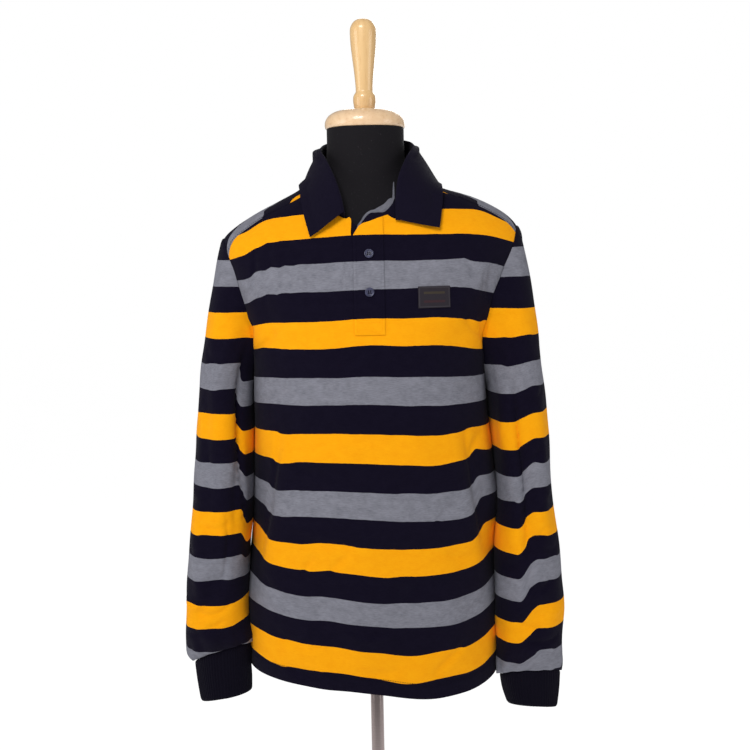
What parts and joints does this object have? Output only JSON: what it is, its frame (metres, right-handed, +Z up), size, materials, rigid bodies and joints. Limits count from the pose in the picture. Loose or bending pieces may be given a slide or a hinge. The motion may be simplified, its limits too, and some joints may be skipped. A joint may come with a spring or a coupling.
{
  "type": "long-sleeved knit polo shirt on a limbless dress form with a pole stand",
  "caption": "Long-sleeved knit polo shirt in crosswise stripes with a spread collar, on a limbless dress form with a wooden neck cap, a pole and a round base.",
  "frame": {"origin": "centre of the round base's underside, on the floor", "axes": "+Z up along the pole; -Y is the wearer's front; -X is the wearer's right"},
  "size_m": [0.5387, 0.3, 1.692],
  "materials": {
    "striped_knit": "matt piqué knit in even crosswise bands of navy, orange and grey mélange",
    "navy_knit": "matt flat knit and rib, dark navy",
    "grey_knit": "matt grey mélange facing",
    "badge_cloth": "plain dark woven badge with a thin border",
    "button_resin": "dark blue resin, soft sheen",
    "form_cover": "black close jersey cover",
    "varnished_wood": "pale varnished beech",
    "brushed_steel": "satin"
  },
  "bodies": {
    "root": {"front": "striped_knit", "back": "striped_knit", "sleeve_right": "striped_knit", "sleeve_left": "striped_knit", "cuff_right": "navy_knit", "cuff_left": "navy_knit", "collar_stand": "navy_knit", "collar_leaf": "navy_knit", "placket_over": "striped_knit", "placket_under": "navy_knit", "neck_band": "navy_knit", "placket_facing": "grey_knit", "chest_badge": "badge_cloth", "button_1": "button_resin", "button_2": "button_resin", "form_torso": "form_cover", "neck_cap": "varnished_wood", "finial": "varnished_wood", "pole": "brushed_steel", "base": "brushed_steel"}
  },
  "joints": []
}
